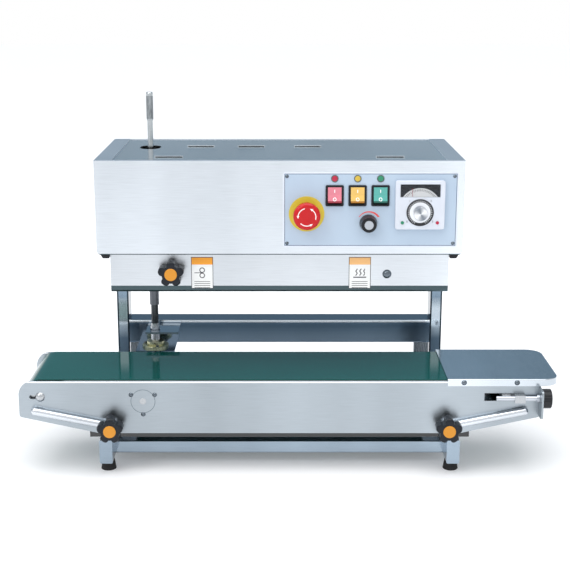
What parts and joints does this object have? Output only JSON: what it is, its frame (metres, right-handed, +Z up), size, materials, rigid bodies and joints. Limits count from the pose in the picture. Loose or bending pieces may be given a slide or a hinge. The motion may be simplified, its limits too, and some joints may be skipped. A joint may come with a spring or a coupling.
{
  "type": "continuous band sealer",
  "caption": "Upright band sealer: a sealing head with a control panel over a short belt conveyor, on a tube frame with feet, with a feed tray at one end",
  "frame": {"origin": "bottom centre of the whole machine", "axes": "+X along the conveyor towards the feed tray, +Y from the operator to the rear, +Z up"},
  "size_m": [0.828, 0.3734, 0.568],
  "materials": {
    "polished_stainless": "bright polished stainless",
    "brushed_stainless": "fine brushed stainless",
    "plain_steel": "plain steel",
    "gear_steel": "machined steel",
    "cast_aluminium": "plain",
    "yellow_zinc": "yellow zinc plate",
    "band_glass_cloth": "woven coated band",
    "belt_green": "glossy green PVC belt",
    "foot_rubber": "matt black rubber",
    "black_gloss": "glossy black paint",
    "black_plastic": "black moulding",
    "panel_film": "pale blue panel film",
    "stop_red": "red moulding",
    "rocker_red": "translucent red",
    "rocker_yellow": "translucent yellow",
    "rocker_green": "translucent green",
    "white_plastic": "white moulding",
    "silver_knob": "turned aluminium"
  },
  "bodies": {
    "base": {"base_frame": "polished_stainless", "feet": "foot_rubber", "uprights": "polished_stainless", "mechanism_plate": "plain_steel", "front_guard": "brushed_stainless", "rear_guard": "brushed_stainless", "head_screws": "plain_steel", "housing_shell": "brushed_stainless", "top_cover": "brushed_stainless", "rear_panel": "brushed_stainless", "power_inlet": "black_plastic", "control_plate": "panel_film", "switch_frames": "black_plastic", "controller_case": "white_plastic", "gear_motor": "cast_aluminium", "seal_bands": "band_glass_cloth", "heating_blocks": "plain_steel", "cooling_blocks": "cast_aluminium", "fan_housing": "black_plastic"},
    "carriage": {"rear_beam": "polished_stainless", "shaft_bracket": "polished_stainless", "flange_bearing": "yellow_zinc", "drive_bearings": "plain_steel", "side_plate_front": "brushed_stainless", "side_plate_rear": "brushed_stainless", "slider_bed": "plain_steel", "conveyor_belt": "belt_green", "left_axle": "plain_steel", "brace_rods": "polished_stainless", "support_bar": "black_gloss", "support_arms": "plain_steel", "feed_tray": "polished_stainless", "conveyor_screws": "plain_steel"},
    "vertical_drive": {"drive_shaft": "gear_steel", "shaft_coupling": "plain_steel", "shaft_bevel_gear": "gear_steel"},
    "conveyor_drive": {"drive_roller": "plain_steel"},
    "left_roller": {"roller_left": "plain_steel"},
    "tension_slide": {"tension_blocks": "plain_steel"},
    "right_roller": {"roller_right": "plain_steel"},
    "front_tensioner": {"tension_screw_front": "gear_steel"},
    "rear_tensioner": {"tension_screw_rear": "gear_steel"},
    "left_clamp_knob": {"star_knob_left": "black_plastic"},
    "right_clamp_knob": {"star_knob_right": "black_plastic"},
    "guard_clamp_knob": {"guard_knob": "black_plastic"},
    "hollow_drive": {"hollow_gear": "gear_steel"},
    "motor_output": {"motor_gear": "gear_steel"},
    "front_drive_wheel": {"band_drive_front": "gear_steel"},
    "rear_drive_wheel": {"band_drive_rear": "gear_steel"},
    "front_idler_wheel": {"band_idler_front": "gear_steel"},
    "rear_idler_wheel": {"band_idler_rear": "gear_steel"},
    "front_pressure": {"pressure_roller_front": "gear_steel"},
    "rear_pressure": {"pressure_roller_rear": "foot_rubber"},
    "fan": {"fan_rotor": "black_plastic"},
    "emergency_stop": {"estop_button": "stop_red"},
    "power_switch": {"power_rocker": "rocker_red"},
    "heater_switch": {"heater_rocker": "rocker_yellow"},
    "fan_switch": {"fan_rocker": "rocker_green"},
    "speed_control": {"speed_knob": "black_plastic"},
    "temperature_control": {"controller_knob": "silver_knob"}
  },
  "joints": [
    {"name": "conveyor_lift", "type": "slide", "parent": "base", "child": "carriage", "axis": [0, 0, 1], "range_m": [0, 0.03]},
    {"name": "drive_roller_spin", "type": "hinge", "parent": "carriage", "child": "conveyor_drive", "pos_m": [-0.2235, -0.0763, 0.116], "axis": [0, 1, 0], "continuous": true},
    {"name": "vertical_shaft_spin", "type": "hinge", "parent": "carriage", "child": "vertical_drive", "pos_m": [-0.2235, 0.0557, 0.183], "axis": [0, 0, 1], "continuous": true},
    {"name": "left_roller_spin", "type": "hinge", "parent": "carriage", "child": "left_roller", "pos_m": [-0.381, -0.0763, 0.123], "axis": [0, 1, 0], "continuous": true},
    {"name": "tension_screw_front_turn", "type": "hinge", "parent": "carriage", "child": "front_tensioner", "pos_m": [0.386, -0.1603, 0.123], "axis": [1, 0, 0], "range_deg": [-1, 2881]},
    {"name": "tension_screw_rear_turn", "type": "hinge", "parent": "carriage", "child": "rear_tensioner", "pos_m": [0.386, 0.0077, 0.123], "axis": [1, 0, 0], "range_deg": [-1, 2881]},
    {"name": "roller_tension", "type": "slide", "parent": "carriage", "child": "tension_slide", "axis": [1, 0, 0], "range_m": [-0.01, 0]},
    {"name": "right_roller_spin", "type": "hinge", "parent": "tension_slide", "child": "right_roller", "pos_m": [0.353, -0.0763, 0.123], "axis": [0, 1, 0], "continuous": true},
    {"name": "left_clamp_knob_turn", "type": "hinge", "parent": "carriage", "child": "left_clamp_knob", "pos_m": [-0.272, -0.1661, 0.078], "axis": [0, 1, 0], "continuous": true},
    {"name": "right_clamp_knob_turn", "type": "hinge", "parent": "carriage", "child": "right_clamp_knob", "pos_m": [0.244, -0.1661, 0.078], "axis": [0, 1, 0], "continuous": true},
    {"name": "guard_knob_turn", "type": "hinge", "parent": "base", "child": "guard_clamp_knob", "pos_m": [-0.18, -0.0988, 0.307], "axis": [0, 1, 0], "continuous": true},
    {"name": "hollow_gear_spin", "type": "hinge", "parent": "base", "child": "hollow_drive", "pos_m": [-0.2235, 0.0557, 0.34], "axis": [0, 0, 1], "continuous": true},
    {"name": "motor_gear_spin", "type": "hinge", "parent": "base", "child": "motor_output", "pos_m": [-0.19795, 0.01492, 0.34], "axis": [0, 0, 1], "continuous": true},
    {"name": "front_drive_wheel_spin", "type": "hinge", "parent": "base", "child": "front_drive_wheel", "pos_m": [-0.1715, -0.0673, 0.2995], "axis": [0, 0, 1], "continuous": true},
    {"name": "rear_drive_wheel_spin", "type": "hinge", "parent": "base", "child": "rear_drive_wheel", "pos_m": [-0.1715, -0.0273, 0.2995], "axis": [0, 0, 1], "continuous": true},
    {"name": "front_idler_wheel_spin", "type": "hinge", "parent": "base", "child": "front_idler_wheel", "pos_m": [0.1435, -0.0673, 0.2995], "axis": [0, 0, 1], "continuous": true},
    {"name": "rear_idler_wheel_spin", "type": "hinge", "parent": "base", "child": "rear_idler_wheel", "pos_m": [0.1435, -0.0273, 0.2995], "axis": [0, 0, 1], "continuous": true},
    {"name": "front_pressure_spin", "type": "hinge", "parent": "base", "child": "front_pressure", "pos_m": [-0.109, -0.0583, 0.2995], "axis": [0, 0, 1], "continuous": true},
    {"name": "rear_pressure_spin", "type": "hinge", "parent": "base", "child": "rear_pressure", "pos_m": [-0.109, -0.0363, 0.2995], "axis": [0, 0, 1], "continuous": true},
    {"name": "fan_spin", "type": "hinge", "parent": "base", "child": "fan", "pos_m": [0.106, 0.1392, 0.407], "axis": [0, 1, 0], "continuous": true},
    {"name": "emergency_stop_push", "type": "slide", "parent": "base", "child": "emergency_stop", "axis": [0, 1, 0], "range_m": [0, 0.004], "stiffness_N_per_m": 1500},
    {"name": "power_switch_rock", "type": "hinge", "parent": "base", "child": "power_switch", "pos_m": [0.0693, -0.1003, 0.427], "axis": [1, 0, 0], "range_deg": [0, 18]},
    {"name": "heater_switch_rock", "type": "hinge", "parent": "base", "child": "heater_switch", "pos_m": [0.1039, -0.1003, 0.427], "axis": [1, 0, 0], "range_deg": [0, 18]},
    {"name": "fan_switch_rock", "type": "hinge", "parent": "base", "child": "fan_switch", "pos_m": [0.1385, -0.1003, 0.427], "axis": [1, 0, 0], "range_deg": [0, 18]},
    {"name": "speed_turn", "type": "hinge", "parent": "base", "child": "speed_control", "pos_m": [0.121, -0.1043, 0.3845], "axis": [0, 1, 0], "range_deg": [0, 270]},
    {"name": "temperature_turn", "type": "hinge", "parent": "base", "child": "temperature_control", "pos_m": [0.1985, -0.1043, 0.402], "axis": [0, 1, 0], "range_deg": [0, 270]}
  ],
  "couplings": [
    {"joint": "vertical_shaft_spin", "follows": "drive_roller_spin", "ratio": 1},
    {"joint": "hollow_gear_spin", "follows": "drive_roller_spin", "ratio": 1},
    {"joint": "motor_gear_spin", "follows": "drive_roller_spin", "ratio": -0.61364},
    {"joint": "rear_drive_wheel_spin", "follows": "drive_roller_spin", "ratio": 0.915},
    {"joint": "front_drive_wheel_spin", "follows": "drive_roller_spin", "ratio": -0.915},
    {"joint": "rear_idler_wheel_spin", "follows": "drive_roller_spin", "ratio": 0.915},
    {"joint": "front_idler_wheel_spin", "follows": "drive_roller_spin", "ratio": -0.915},
    {"joint": "rear_pressure_spin", "follows": "drive_roller_spin", "ratio": 1.7145},
    {"joint": "front_pressure_spin", "follows": "drive_roller_spin", "ratio": -1.7145},
    {"joint": "left_roller_spin", "follows": "drive_roller_spin", "ratio": 0.72332},
    {"joint": "right_roller_spin", "follows": "drive_roller_spin", "ratio": 0.72332},
    {"joint": "tension_screw_front_turn", "follows": "roller_tension", "rad_per_m": -5026.5},
    {"joint": "tension_screw_rear_turn", "follows": "roller_tension", "rad_per_m": -5026.5}
  ]
}
